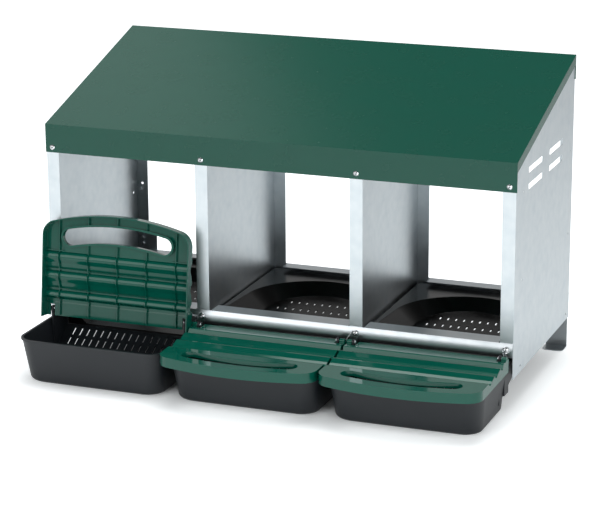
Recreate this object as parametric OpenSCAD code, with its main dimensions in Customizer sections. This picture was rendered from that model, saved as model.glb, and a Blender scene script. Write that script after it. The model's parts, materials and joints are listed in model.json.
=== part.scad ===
// Three-bay roll out nest box: sheet-metal cabinet, sloping roof, moulded nest trays,
// and floor-standing egg trays with hinged lids. Millimetres, +Z up, front towards -Y.

/* [Cabinet] */
// Width over the two side panels
box_w = 925; // [880:1:1000]
// Depth from the front faces of the posts to the rear faces of the rear flanges
box_d = 400; // [370:1:450]
// Height of the roof's front fold above the floor
front_h = 466; // [440:1:520]
// Height of the roof's rear fold above the floor
rear_h = 584; // [560:1:640]
// Height of the lower edges of panels and dividers above the floor
panel_base = 61; // [58:0.5:66]
// Thickness of the galvanised sheet
sheet = 1; // [0.8:0.1:1.5]
// Width of the folded post flanges
post_w = 25; // [20:0.5:30]
// How much wider the right-hand bay is than the others
bay_spare = 7; // [5:0.5:12]

/* [Roof] */
// Height of the front fascia
fascia_h = 55; // [45:1:70]
// Height of the rear flange
roof_rear_h = 47; // [30:1:60]
// Depth of the side flanges
roof_side_h = 19; // [12:0.5:25]
// Gap between the roof's side flange and the side panel
roof_gap = 0.5; // [0.3:0.1:1]

/* [Vents and holes] */
// Length of a vent slot
vent_l = 94; // [70:1:105]
// Height of a vent slot
vent_h = 11.5; // [8:0.5:14]
// Gap between the two slots of a row
vent_gap = 49; // [30:1:60]
// Distance from the roof's front fold down to the upper row's top edge
vent_drop = 27; // [20:1:36]
// Distance from one row of vents to the next
vent_step = 31; // [20:1:40]
// Diameter of the joining holes in the side panels
join_hole_d = 5; // [4:0.1:6]
// Distance of the front joining holes from the front
join_front = 50; // [40:1:60]
// Distance of the rear joining holes from the rear
join_rear = 20; // [16:1:34]
// Heights of the joining holes
join_low = 73; // [70:1:80]
// Spacing of the joining holes up the panel
join_step = 164; // [150:1:170]
// Diameter of the wall-hanging holes in the rear flanges
wall_hole_d = 5; // [4:0.1:6]
// Distance from the roof's rear fold down to the upper wall-hanging holes
wall_drop = 90; // [60:1:140]
// Spacing between lower and upper wall-hanging holes
wall_step = 240; // [180:1:250]

/* [Sills] */
// Height of the front sill's top above the floor
sill_top = 130; // [128:0.5:136]
// Height of the front sill's bowed face
sill_h = 27; // [25:0.5:30]
// Forward bow of the front sill's face
sill_bow = 4; // [2:0.5:5]
// Distance from the front sill's top down to its screws
sill_screw_down = 11.5; // [10:0.5:13]
// Depth of the front sill's top flange
sill_flange = 36; // [20:1:38]
// Height of the rear sill's top above the floor
rear_sill_top = 112; // [108:1:120]
// Depth of the rear sill's top flange
rear_sill_flange = 28; // [15:1:34]
// Depth of the rear sill's lower ledge, which carries the nest trays
rear_ledge = 32; // [20:1:40]
// Clearance beside the posts in the sills' notched flanges
notch_gap = 3; // [1:0.5:5]

/* [Rear legs] */
// Width of a leg
leg_w = 42; // [30:1:60]
// Height of a leg's top end above the floor
leg_top = 150; // [130:1:200]
// Depth of the foot turned forward
foot_l = 35; // [25:1:50]
// Radius of the foot's corners
foot_r = 9; // [4:1:14]
// Thickness of a leg
leg_t = 1.5; // [1:0.1:2.5]

/* [Nest trays] */
// Gap beside a nest tray in its bay
nest_gap = 3.5; // [2:0.5:7]
// Distance from the front face of the posts to the tray's front edge
nest_front = 42; // [41:0.5:46]
// Gap between the tray and the rear flanges, past the screw ends
nest_rear_gap = 9; // [8:0.5:14]
// Height of the deck above the floor
deck_z = 103; // [101:0.5:106]
// Wall of the moulding
nest_wall = 2.5; // [2:0.1:3.5]
// Width of the deck beside the bowl
bowl_edge = 15; // [12:0.5:25]
// Width of the bowl's sloping wall
bowl_slope = 32; // [26:1:38]
// Height of the middle of the bowl's floor above the room's floor
bowl_floor_z = 72; // [71:0.5:76]
// Width of the deck behind the bowl
bowl_back = 44; // [34:1:50]
// Forward fall of the bowl's floor in degrees
bowl_tilt = 4; // [2:0.5:4.5]
// Width of a drain slot in the bowl
bowl_slot_w = 3; // [2:0.5:5]
// Length of a drain slot in the bowl
bowl_slot_l = 13; // [12:1:26]
// Spacing of the drain slots across the bowl
bowl_slot_pitch = 16; // [14:1:20]
// Spacing of the rows of drain slots
bowl_row_pitch = 36; // [32:1:42]

/* [Egg trays] */
// Gap beside an egg tray's rim in its bay
tray_gap = 4; // [3.75:0.25:7.5]
// Distance from the ends of the lid's arched front back to the tray's front rim
tray_set_back = 25; // [20:1:32]
// Height of the rim above the floor
tray_rim_z = 88; // [84:0.5:90]
// Wall of the moulding
tray_wall = 2.5; // [2:0.1:3]
// Lean of the front wall between floor and rim
tray_front_draft = 16; // [8:1:20]
// Lean of each side wall between floor and rim
tray_side_draft = 9; // [5:0.5:12]
// Radius of the upright corners at the rim
tray_corner_r = 32; // [24:1:38]
// Radius of the rounded lower edge
tray_foot_r = 9; // [5:0.5:12]
// Width of the rim's outward bead
tray_bead = 2; // [1:0.1:2.5]
// Height of the rim's bead
tray_bead_h = 3; // [2:0.1:4]
// Distance from the front of the posts to the ramp's lower end
ramp_toe = 66; // [56:1:80]
// Distance from the front of the posts back to the ramp's landing
ramp_top = 36; // [32:0.5:38]
// Length of the landing under the nest tray's front
landing_l = 14; // [10:0.5:20]
// Distance from the front of the posts to the tray's upright heel
heel_y = 8; // [5:0.5:14]
// Width of a ramp slot
ramp_slot_w = 3; // [2:0.5:5]
// Length of a ramp slot
ramp_slot_l = 18; // [14:1:26]
// Spacing of the ramp slots
ramp_slot_pitch = 15; // [13:1:20]

/* [Egg lids] */
// Gap between neighbouring lids
lid_gap = 2; // [2:0.5:5]
// Wall of the lid's moulding
lid_wall = 2.2; // [1.8:0.1:2.4]
// Distance of the hinge axis in front of the posts
hinge_y = 24; // [22:0.5:28]
// Height of the hinge axis above the floor
hinge_z = 108; // [106:0.5:110]
// Reach of the lid's arched front ahead of the hinge axis
lid_reach = 193; // [188:1:200]
// Length of the lid behind the hinge axis
lid_tail = 13; // [10:0.5:14]
// Height of the hinge axis above the top of the lid's rear band
hinge_up = 3; // [2:0.5:3.5]
// Length of the raised lip at the front of the rear band
lip_l = 5; // [3:0.5:7]
// Height of the front flange
lid_flange_h = 19; // [15:0.5:22]
// Bow of the arched front edge
lid_bow = 24; // [15:1:32]
// Radius of the lid's front corners
lid_corner_r = 30; // [20:1:40]
// Number of troughs across the lid
trough_n = 3; // [2:1:3]
// Distance of the first trough ahead of the hinge axis
trough_first = 27; // [24:0.5:30]
// Spacing of the troughs
trough_pitch = 38; // [35:0.5:39]
// Drop from one tread to the next
tread_drop = 2; // [1:0.1:2.4]
// Depth of a trough below the tread in front of it
trough_depth = 6.5; // [4:0.1:7]
// Length of the round at the front of a trough
trough_round = 11; // [8:0.5:12]
// Length of the fall from a tread into the trough in front of it
trough_fall = 14; // [10:0.5:16]
// Length of the flat top of a crest
crest_l = 3; // [2:0.5:5]
// Fall of a tread between its crest and the trough in front of it
tread_fall = 3; // [1:0.5:4]
// Height of the ribs under the lid's skin
rib_h = 5; // [3:0.5:6]
// Distance from a lid's side to the end of its handle slot
slot_end = 39; // [32:1:52]
// Width of the handle slot
slot_w = 32; // [26:0.5:34]
// Distance from the arched front edge to the handle slot
slot_edge = 22; // [20:0.5:26]
// Thickness of the rim under the handle slot
slot_rim = 4.2; // [2:0.1:5]
// Opening angle at which a lid leans back towards the posts
lid_open_angle = 97; // [92:0.5:97]

/* [Hinges] */
// Diameter of a hinge pin
pin_d = 4; // [3:0.1:5]
// Radial running clearance of a pin in the lid
pin_run = 0.08; // [0.04:0.01:0.1]
// Height of a hinge pin's head
pin_head_h = 1.6; // [1:0.1:2.5]
// Thickness of a hinge ear on the tray
ear_t = 4; // [3:0.5:6]
// Distance from a lid's side in to the inner face of the tray's hinge ear
ear_in = 15; // [14:0.5:18]
// Radius of the ear round the pin
ear_r = 6; // [5:0.5:8]
// Clearance of the lid's cut-out beside the ear
ear_gap = 1.5; // [1:0.1:2]

/* [Fasteners] */
// Diameter of a screw's shank
screw_d = 5; // [4:0.1:6]
// Diameter of a screw's head
head_d = 10; // [8.5:0.1:12]
// Height of a screw's head
head_h = 3.2; // [2.5:0.1:4]
// Width of a nut across its corners
nut_d = 9; // [8:0.1:10]
// Thickness of a nut
nut_h = 4; // [3:0.1:5]
// Radial clearance of a screw in its hole
screw_gap = 0.25; // [0.1:0.05:0.5]
// Distance from the fascia's lower edge up to its screws
fascia_screw_up = 10; // [8:0.5:14]
// Diameter of the tray clips' wire
wire_d = 2; // [1.6:0.1:2.4]
// Distance from the sill's lower edge down to the clips' feet
clip_drop = 8; // [5:0.5:12]

/* [Hidden] */
$fn = 48;

// Overrun of every cut past the face it opens
over = 2;
// Small seat gap between pieces that rest on each other
seat = 0.3;
// Angle of the eye of a clip with one leg, the steps along an eye, and the angle of one whole turn
eye_angle = 285;
eye_steps = 16;
turn_angle = 360;
// Angle through which the round at the front of a trough turns up to its crest
crest_angle = 70;
galvanised = [0.78, 0.82, 0.84];
roof_green = [0.11, 0.34, 0.27];
lid_green = [0.05, 0.36, 0.28];
charcoal = [0.2, 0.21, 0.23];
black = [0.06, 0.06, 0.07];
zinc = [0.85, 0.86, 0.88];

half_w = box_w / 2;
bay_pitch = (box_w - bay_spare) / 3;
nest_w = bay_pitch - sheet - 2 * nest_gap;
tray_w = bay_pitch - sheet - 2 * tray_gap;
lid_w = bay_pitch - lid_gap;
slot_l = lid_w - 2 * slot_end;
ear_x = lid_w / 2 - ear_in;
tray_front = hinge_y + lid_reach - lid_bow - tray_set_back;
vent_top = front_h - vent_drop;
wall_low = rear_h - wall_drop - wall_step;
roof_slope = (rear_h - front_h) / box_d;
roof_angle = atan(roof_slope);
roof_t = sheet / cos(roof_angle);
roof_half = half_w + roof_gap + sheet;
fascia_base = front_h - fascia_h;
fascia_screw_z = fascia_base + fascia_screw_up;
roof_rear_screw_z = rear_h - roof_rear_h / 2;
sill_base = sill_top - sill_h;
post_base = sill_base + sill_h / 3;
sill_screw_z = sill_top - sill_screw_down;
sill_front = -sheet - sill_bow;
rear_post_base = panel_base + sheet + seat;
rear_sill_screw_z = (rear_sill_top + panel_base) / 2;
nest_back = box_d - sheet - nest_rear_gap;
nest_base = panel_base + sheet;
bowl_r = nest_w / 2 - bowl_edge;
bowl_floor_r = bowl_r - bowl_slope;
bowl_mid = nest_back - bowl_back - bowl_r;
rear_most = box_d + sheet + head_h;
// Front face of the posts, set so that the whole object is centred front to back
face_y = (hinge_y + lid_reach - rear_most) / 2;

// Height of the roof's outer face at a distance behind the posts' front faces
function roof_z(y) = front_h + roof_slope * y;
// Left edge of each post flange
function post_x(i) = i == 3 ? half_w - post_w : -half_w + i * bay_pitch;
function post_mid(i) = post_x(i) + post_w / 2;
// Inner faces of each bay's two walls
function bay_left(i) = -half_w + i * bay_pitch + sheet;
function bay_right(i) = i == 2 ? half_w - sheet : -half_w + (i + 1) * bay_pitch;
function bay_mid(i) = (bay_left(i) + bay_right(i)) / 2;
// Points of an arc about [cx, cy]
function arc(cx, cy, r, a0, a1, n) = [for (k = [0:n]) let (a = a0 + (a1 - a0) * k / n)
                                      [cx + r * cos(a), cy + r * sin(a)]];

// Box between two corners
module slab(x0, x1, y0, y1, z0, z1) {
    translate([x0, y0, z0]) cube([x1 - x0, y1 - y0, z1 - z0]);
}

// Profile drawn in Y and Z, run along X
module along_x(x0, x1) {
    translate([x0, 0, 0]) rotate([90, 0, 90]) linear_extrude(x1 - x0) children();
}

// Round bar or hole along Y
module rod_y(x, z, r, y0, y1) {
    translate([x, y1, z]) rotate([90, 0, 0]) cylinder(r = r, h = y1 - y0);
}

// Round bar or hole along X
module rod_x(y, z, r, x0, x1) {
    translate([x0, y, z]) rotate([0, 90, 0]) cylinder(r = r, h = x1 - x0);
}

module screw_hole(x, z, y0, y1) {
    rod_y(x, z, screw_d / 2 + screw_gap, y0 - over, y1 + over);
}

// Domed screw head with its shank, entering along +Y from the head's seat
module screw(x, z, seat_y, length) {
    dome_r = (head_d * head_d / 4 + head_h * head_h) / (2 * head_h);
    translate([x, seat_y, z]) rotate([90, 0, 0]) {
        intersection() {
            cylinder(d = head_d, h = head_h);
            translate([0, 0, head_h - dome_r]) sphere(r = dome_r);
        }
        translate([0, 0, -length]) cylinder(d = screw_d, h = length);
    }
}

// Hexagon nut against a face, growing along +Y
module nut(x, z, seat_y) {
    difference() {
        translate([x, seat_y + nut_h, z]) rotate([90, 0, 0]) cylinder(d = nut_d, h = nut_h, $fn = 6);
        rod_y(x, z, screw_d / 2 + screw_gap / 2, seat_y - over, seat_y + nut_h + over);
    }
}

// Outline of a panel or divider seen from the side
module panel_outline() {
    polygon([[0, panel_base], [box_d, panel_base], [box_d, roof_z(box_d) - roof_t - seat],
             [0, roof_z(0) - roof_t - seat]]);
}

module vents() {
    vent_front = (box_d - vent_gap) / 2 - vent_l;
    for (row = [0, 1], column = [0, 1])
        translate([vent_front + column * (vent_l + vent_gap), vent_top - vent_h - row * vent_step])
            square([vent_l, vent_h]);
}

module joining_holes() {
    for (y = [join_front, box_d - join_rear], k = [0:2])
        translate([y, join_low + k * join_step]) circle(d = join_hole_d);
}

// Folded sheet: web at one edge with front and rear flanges turned to the side
module folded_wall(i, web_x) {
    x0 = post_x(i);
    difference() {
        union() {
            along_x(web_x, web_x + sheet) panel_outline();
            slab(x0, x0 + post_w, 0, sheet, post_base, roof_z(0) - roof_t - seat);
            slab(x0, x0 + post_w, box_d - sheet, box_d, rear_post_base,
                 roof_z(box_d - sheet) - roof_t - seat);
        }
        screw_hole(post_mid(i), fascia_screw_z, 0, sheet);
        screw_hole(post_mid(i), sill_screw_z, 0, sheet);
        screw_hole(post_mid(i), rear_sill_screw_z, box_d - sheet, box_d);
        screw_hole(post_mid(i), roof_rear_screw_z, box_d - sheet, box_d);
    }
}

module side_panel(i, web_x) {
    color(galvanised) translate([0, face_y, 0]) difference() {
        folded_wall(i, web_x);
        along_x(web_x - over, web_x + sheet + over) {
            vents();
            joining_holes();
        }
        for (k = [0, 1])
            rod_y(post_mid(i), wall_low + k * wall_step, wall_hole_d / 2, box_d - sheet - over, box_d + over);
        for (z = leg_screw_heights()) screw_hole(post_mid(i), z, box_d - sheet, box_d);
    }
}

module divider(i) {
    color(galvanised) translate([0, face_y, 0]) folded_wall(i, post_x(i));
}

// Section of the roof: fascia, sloping top and rear flange
module roof_section() {
    difference() {
        polygon([[-sheet, fascia_base], [-sheet, roof_z(-sheet)], [box_d + sheet, roof_z(box_d + sheet)],
                 [box_d + sheet, roof_z(box_d + sheet) - roof_rear_h], [box_d, roof_z(box_d) - roof_rear_h],
                 [0, fascia_base]]);
        polygon([[0, fascia_base - over], [0, roof_z(0) - roof_t], [box_d, roof_z(box_d) - roof_t],
                 [box_d, roof_z(box_d) - roof_rear_h - over]]);
    }
}

// Side flange of the roof, which hangs over the outside of a panel
module roof_side() {
    polygon([[-sheet, roof_z(-sheet) - roof_side_h], [-sheet, roof_z(-sheet)],
             [box_d + sheet, roof_z(box_d + sheet)],
             [box_d + sheet, roof_z(box_d + sheet) - roof_side_h]]);
}

module roof() {
    color(roof_green) translate([0, face_y, 0]) difference() {
        union() {
            along_x(-roof_half, roof_half) roof_section();
            along_x(-roof_half, -roof_half + sheet) roof_side();
            along_x(roof_half - sheet, roof_half) roof_side();
        }
        for (i = [0:3]) {
            screw_hole(post_mid(i), fascia_screw_z, -sheet, 0);
            screw_hole(post_mid(i), roof_rear_screw_z, box_d, box_d + sheet);
        }
    }
}

// Section of the front sill: top flange and a face bowed forward
module sill_section() {
    r = (sill_h * sill_h / 4 + sill_bow * sill_bow) / (2 * sill_bow);
    translate([-sheet, sill_top - sheet]) square([sheet + sill_flange, sheet]);
    intersection() {
        translate([sill_front + r, sill_base + sill_h / 2]) difference() {
            circle(r = r, $fn = 96);
            circle(r = r - sheet, $fn = 96);
        }
        translate([sill_front - over, sill_base]) square([over - sill_front, sill_h]);
    }
}

// Room for a post in a sill's top flange
module post_notch(i, y0, y1, z0, z1) {
    slab(post_x(i) - notch_gap, post_x(i) + post_w + notch_gap, y0, y1, z0, z1);
}

// Slot for the web of a panel or divider
module web_slot(i, y0, y1, z0, z1) {
    web_x = i == 3 ? half_w - sheet : post_x(i);
    slab(web_x - seat, web_x + sheet + seat, y0, y1, z0, z1);
}

module front_sill() {
    color(galvanised) translate([0, face_y, 0]) difference() {
        along_x(-half_w, half_w) sill_section();
        for (i = [0:3]) {
            post_notch(i, 0, sill_flange + over, sill_top - sheet - over, sill_top + over);
            screw_hole(post_mid(i), sill_screw_z, sill_front, 0);
        }
    }
}

// Section of the rear sill: top flange, web and the ledge under the nest trays
module rear_sill_section() {
    translate([box_d, panel_base]) square([sheet, rear_sill_top - panel_base]);
    translate([box_d - rear_sill_flange, rear_sill_top - sheet]) square([rear_sill_flange + sheet, sheet]);
    translate([box_d - rear_ledge, panel_base]) square([rear_ledge + sheet, sheet]);
}

module rear_sill() {
    color(galvanised) translate([0, face_y, 0]) difference() {
        along_x(-half_w, half_w) rear_sill_section();
        for (i = [0:3]) {
            post_notch(i, box_d - rear_sill_flange - over, box_d,
                       rear_sill_top - sheet - over, rear_sill_top + over);
            web_slot(i, box_d - rear_ledge - over, box_d, panel_base - over, panel_base + sheet + over);
            screw_hole(post_mid(i), rear_sill_screw_z, box_d, box_d + sheet);
        }
        for (side = [-1, 1]) leg_slot(side);
    }
}

// Heights of the two screws that hold each leg
function leg_screw_heights() = [rear_sill_top + (leg_top - rear_sill_top) / 3,
                                leg_top - (leg_top - rear_sill_top) / 3];

function leg_x(side) = side < 0 ? -half_w + sheet + seat : half_w - sheet - seat - leg_w;

// Room for a leg where it passes the rear sill's ledge and top flange
module leg_slot(side) {
    slab(leg_x(side) - seat, leg_x(side) + leg_w + seat, box_d - sheet - leg_t - seat, box_d,
         panel_base - over, rear_sill_top + over);
}

// Leg in front of the rear flange with its foot turned forward
module rear_leg(side) {
    x0 = leg_x(side);
    y1 = box_d - sheet;
    post = side < 0 ? 0 : 3;
    color(galvanised) translate([0, face_y, 0]) difference() {
        union() {
            slab(x0, x0 + leg_w, y1 - leg_t, y1, 0, leg_top);
            linear_extrude(leg_t) {
                translate([x0, y1 - foot_l + foot_r]) square([leg_w, foot_l - foot_r]);
                translate([x0 + foot_r, y1 - foot_l]) square([leg_w - 2 * foot_r, foot_l]);
                for (x = [x0 + foot_r, x0 + leg_w - foot_r])
                    translate([x, y1 - foot_l + foot_r]) circle(r = foot_r);
            }
        }
        for (z = leg_screw_heights()) screw_hole(post_mid(post), z, y1 - leg_t, y1);
        screw_hole(post_mid(post), rear_sill_screw_z, y1 - leg_t, y1);
    }
}

// Space of the nest bowl: round at the back, straight sides towards the front, grown by a wall
module bowl_space(grow) {
    depth = deck_z - bowl_floor_z;
    flare = (bowl_r - bowl_floor_r) / depth;
    high = depth * 2;
    wide = [bowl_floor_r + grow, bowl_floor_r + grow + flare * high];
    rotate_extrude() polygon([[0, 0], [wide[0], 0], [wide[1], high], [0, high]]);
    rotate([90, 0, 0]) linear_extrude(bowl_mid)
        polygon([[-wide[0], 0], [wide[0], 0], [wide[1], high], [-wide[1], high]]);
}

// Drain slots in the bowl's floor
module bowl_slots() {
    columns = floor(bowl_floor_r / bowl_slot_pitch);
    rows = floor(bowl_floor_r / bowl_row_pitch);
    reach = bowl_floor_r - bowl_slot_w * 2;
    for (row = [-rows - 1:rows - 1], column = [-columns:columns]) {
        x = column * bowl_slot_pitch;
        y = (row + 1 / 2) * bowl_row_pitch;
        far = max(abs(y + bowl_slot_l / 2), abs(y - bowl_slot_l / 2));
        if (norm([x, y > 0 ? far : 0]) < reach)
            slab(x - bowl_slot_w / 2, x + bowl_slot_w / 2, y - bowl_slot_l / 2, y + bowl_slot_l / 2,
                 -nest_wall * 2 - over, over);
    }
}

// Underside of the nest tray's floor at its front edge, above the egg tray's landing
landing_z = bowl_floor_z - nest_wall - (bowl_mid - nest_front) * tan(bowl_tilt)
            - nest_wall * sin(bowl_tilt) - seat;

module nest_tray(i) {
    side = nest_w / 2;
    color(black) translate([bay_mid(i), face_y, 0]) difference() {
        union() {
            difference() {
                slab(-side, side, nest_front, nest_back, nest_base, deck_z);
                slab(-side + nest_wall, side - nest_wall, nest_front + nest_wall, nest_back - nest_wall,
                     nest_base - over, deck_z - nest_wall);
            }
            intersection() {
                translate([0, bowl_mid, bowl_floor_z - nest_wall]) rotate([bowl_tilt, 0, 0])
                    bowl_space(nest_wall);
                slab(-side, side, nest_front, nest_back, 0, deck_z);
            }
            slab(-side, side, nest_front, nest_front + nest_wall, landing_z + seat, nest_base + over);
        }
        translate([0, bowl_mid, bowl_floor_z]) rotate([bowl_tilt, 0, 0]) {
            bowl_space(0);
            bowl_slots();
        }
    }
}

tongue_end = ramp_top + landing_l;
ramp_grade = (landing_z - tray_wall) / (ramp_top + ramp_toe);
heel_h = ramp_grade * (ramp_toe - heel_y) - tray_wall;

// Plan of an egg tray: square at the back, round at the front corners
module tray_plan(half, front, r) {
    translate([-half, -front + r]) square([2 * half, tongue_end + front - r]);
    translate([-half + r, -front]) square([2 * (half - r), r + over]);
    for (x = [-half + r, half - r]) translate([x, -front + r]) circle(r = r);
}

// Tapered body of an egg tray, drawn in by a wall all round
module tray_body(wall, base, top) {
    levels = [for (k = [0:4]) tray_foot_r * (1 - cos(90 * k / 4))];
    insets = [for (k = [0:4]) tray_foot_r * (1 - sin(90 * k / 4))];
    heights = concat(levels, [top - base]);
    lean = [for (h = heights) 1 - (base + h) / tray_rim_z];
    draws = concat(insets, [0]);
    hull() for (k = [0:len(heights) - 1]) translate([0, 0, base + heights[k]])
        linear_extrude(seat / 10)
            tray_plan(tray_w / 2 - tray_bead - tray_side_draft * lean[k] - wall - draws[k],
                      tray_front - tray_bead - tray_front_draft * lean[k] - wall - draws[k],
                      tray_corner_r - tray_bead - wall, $fn = 32);
}

// Region above the tray's floor and ramp
module above_ramp(lift) {
    top = tray_rim_z + hinge_z;
    landing = landing_z - tray_wall + lift;
    polygon([[-tray_front, lift], [-ramp_toe, lift], [ramp_top, landing], [tongue_end + over, landing],
             [tongue_end + over, top], [-tray_front, top]]);
}

// Region below the ramp, open towards the back and the floor
module below_ramp() {
    polygon([[-ramp_toe + tray_wall / ramp_grade, -over], [-ramp_toe + tray_wall / ramp_grade, 0],
             [ramp_top, landing_z - tray_wall], [tongue_end + over, landing_z - tray_wall],
             [tongue_end + over, -over]]);
}

// Region cut off behind the heel, below the side walls
module behind_heel() {
    polygon([[-heel_y, -over], [-heel_y, heel_h], [tongue_end + over, landing_z - tray_wall * 2],
             [tongue_end + over, -over]]);
}

module ramp_slots() {
    count = floor((ear_x - ramp_slot_pitch) / ramp_slot_pitch);
    for (k = [-count:count], row = [0, 1]) {
        y = ramp_top - ramp_slot_l * (3 / 4 + row * 5 / 4);
        slab(k * ramp_slot_pitch - ramp_slot_w / 2, k * ramp_slot_pitch + ramp_slot_w / 2,
             y - ramp_slot_l / 2, y + ramp_slot_l / 2, -over, tray_rim_z);
    }
}

// Side view of a hinge ear: round eye on a stem that stands on the ramp
module ear_outline() {
    foot = tray_wall / 2 + ramp_grade * (ramp_toe - hinge_y - ear_r);
    translate([-hinge_y, hinge_z]) circle(r = ear_r);
    polygon([[-hinge_y - ear_r, hinge_z], [-hinge_y - ear_r, foot],
             [-hinge_y + ear_r, foot + 2 * ear_r * ramp_grade], [-hinge_y + ear_r, hinge_z]]);
}

// Upright cheek at each rear corner: a step for the wire clip, then a post under the sill
cheek_x = tray_w / 2 - tray_bead - tray_wall * 3 / 2;
clip_z = sill_base - clip_drop;
module cheek(side) {
    x = side * cheek_x - tray_wall / 2;
    slab(x, x + tray_wall, -heel_y, ramp_top / 2, heel_h + tray_wall, clip_z);
    slab(x, x + tray_wall, 0, ramp_top / 2, clip_z - over, sill_base - seat);
}

module egg_tray(i) {
    color(charcoal) translate([bay_mid(i), face_y, 0]) difference() {
        union() {
            difference() {
                union() {
                    tray_body(0, 0, tray_rim_z);
                    translate([0, 0, tray_rim_z - tray_bead_h]) linear_extrude(tray_bead_h)
                        tray_plan(tray_w / 2, tray_front, tray_corner_r);
                }
                intersection() {
                    tray_body(tray_wall, 0, tray_rim_z + over);
                    along_x(-tray_w, tray_w) above_ramp(tray_wall);
                }
                intersection() {
                    tray_body(tray_wall, -tray_foot_r - over, tray_rim_z);
                    along_x(-tray_w, tray_w) below_ramp();
                }
                along_x(-tray_w, tray_w) behind_heel();
                slab(-tray_w, tray_w, nest_front - nest_wall, tongue_end + over, landing_z, hinge_z);
            }
            for (side = [-1, 1]) {
                along_x(side < 0 ? -ear_x - ear_t : ear_x, side < 0 ? -ear_x : ear_x + ear_t) ear_outline();
                cheek(side);
            }
        }
        ramp_slots();
        rod_x(-hinge_y, hinge_z, pin_d / 2, -tray_w, tray_w);
    }
}

// Lid profile, along the lid from the hinge axis (forward is negative) and up from it
lid_rise = -hinge_up;
lip_z = lid_rise + lid_wall / 2;
function trough_at(k) = -trough_first - k * trough_pitch;
function crest_z(k) = lid_rise - tread_drop * (k + 1);
function trough_z(k) = crest_z(k) - trough_depth;
// Lowest level of the tread behind a trough, and the length of the fall; the rear band falls in half of it
function tread_z(k) = k == 0 ? lip_z : crest_z(k - 1) - tread_fall;
function fall_l(k) = k == 0 ? trough_fall / 2 : trough_fall;
// One trough: the tread falls over a round nose to a soft bottom, then turns up to a crisp, flat crest
function trough_points(k) = concat(
    [for (s = [0:6]) let (t = s / 6) [trough_at(k) + fall_l(k) * (1 - t),
        trough_z(k) + (tread_z(k) - trough_z(k)) * (1 + cos(180 * t)) / 2]],
    [for (s = [1:6]) let (a = crest_angle * s / 6) [trough_at(k) - trough_round * sin(a) / sin(crest_angle),
        trough_z(k) + trough_depth * (1 - cos(a)) / (1 - cos(crest_angle))]],
    [[trough_at(k) - trough_round - crest_l, crest_z(k)]]);
lip_y = trough_at(0) + fall_l(0) + lip_l;
lid_top_points = concat(
    [[lid_tail, lid_rise], [lip_y + lid_wall, lid_rise], [lip_y, lip_z]],
    [for (k = [0:trough_n - 1]) each trough_points(k)],
    [[-lid_reach - over, crest_z(trough_n - 1)]]);
lid_front_z = crest_z(trough_n - 1);
lid_base = lid_front_z - lid_flange_h;
// Height that passes everything in the lid
lid_room = lid_flange_h + lid_rise + lid_reach;

// Side view of the lid's body under its top profile
module lid_side() {
    polygon(concat(lid_top_points, [[-lid_reach - over, lid_base], [lid_tail, lid_base]]));
}

// Arched front edge: radius and centre of the arc, and the corner circle that blends it to the sides
bow_r = (lid_w * lid_w / 4 + lid_bow * lid_bow) / (2 * lid_bow);
bow_y = -lid_reach + bow_r;
corner_x = lid_w / 2 - lid_corner_r;
corner_y = bow_y - sqrt(pow(bow_r - lid_corner_r, 2) - corner_x * corner_x);

// Plan of a lid, drawn in by an inset
module lid_plan(inset) {
    r = lid_corner_r - inset;
    to_corner = [corner_x, corner_y - bow_y];
    tangent = [0, bow_y] + to_corner * (bow_r - inset) / norm(to_corner);
    outer = [lid_w / 2 - inset, tangent[1] - r];
    difference() {
        intersection() {
            translate([-lid_w / 2 + inset, -lid_reach]) square([lid_w - 2 * inset, lid_reach + lid_tail]);
            translate([0, bow_y]) circle(r = bow_r - inset, $fn = 96);
        }
        for (side = [-1, 1]) scale([side, 1]) difference() {
            polygon([[corner_x, corner_y], [outer[0] + over, corner_y], outer + [over, 0],
                     tangent - [0, r + over], tangent]);
            translate([corner_x, corner_y]) circle(r = r);
        }
    }
}

// Plan of the handle slot, an arched slot grown by a wall
module slot_plan(grow) {
    r_mid = bow_r - slot_edge - slot_w / 2;
    half_angle = asin((slot_l - slot_w) / 2 / r_mid);
    translate([0, bow_y]) {
        intersection() {
            difference() {
                circle(r = r_mid + slot_w / 2 + grow, $fn = 96);
                circle(r = r_mid - slot_w / 2 - grow, $fn = 96);
            }
            polygon([[0, 0], 2 * r_mid * [-sin(half_angle), -cos(half_angle)],
                     2 * r_mid * [sin(half_angle), -cos(half_angle)]]);
        }
        for (side = [-1, 1]) translate(r_mid * [side * sin(half_angle), -cos(half_angle)])
            circle(d = slot_w + 2 * grow);
    }
}

// Everything inside the lid's skin
module lid_inside(inset) {
    intersection() {
        translate([0, 0, -lid_wall]) along_x(-lid_w, lid_w) lid_side();
        translate([0, 0, lid_base - over]) linear_extrude(lid_room) lid_plan(inset);
    }
}

rib_t = lid_wall * 3 / 4;
rib_n = 5;
rib_half_share = 0.8;
// Lower edge of the rim round the handle slot, just above the tray's rim
rim_base = tray_rim_z + seat * 3 - hinge_z;

// Thin ribs that follow the skin's underside: lengthways, across between the troughs, and beside the slot
module lid_ribs() {
    rib_half = lid_w / 2 * rib_half_share;
    rear = lid_tail - lid_wall;
    beside = corner_y + lid_corner_r;
    difference() {
        union() {
            for (k = [0:rib_n - 1]) {
                x = -rib_half + 2 * rib_half * k / (rib_n - 1);
                slab(x - rib_t / 2, x + rib_t / 2, -lid_reach, rear, lid_base, lip_z);
            }
            for (k = [0:trough_n - 2]) {
                y = trough_at(k) - trough_pitch * 2 / 5;
                slab(-lid_w / 2, lid_w / 2, y - rib_t / 2, y + rib_t / 2, lid_base, lip_z);
            }
            for (side = [-1, 1]) scale([side, 1, 1])
                slab(slot_l / 2, lid_w / 2, beside - rib_t / 2, beside + rib_t / 2, lid_base, lip_z);
        }
        translate([0, 0, -lid_wall - rib_h]) along_x(-lid_w, lid_w) lid_side();
    }
}

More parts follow.
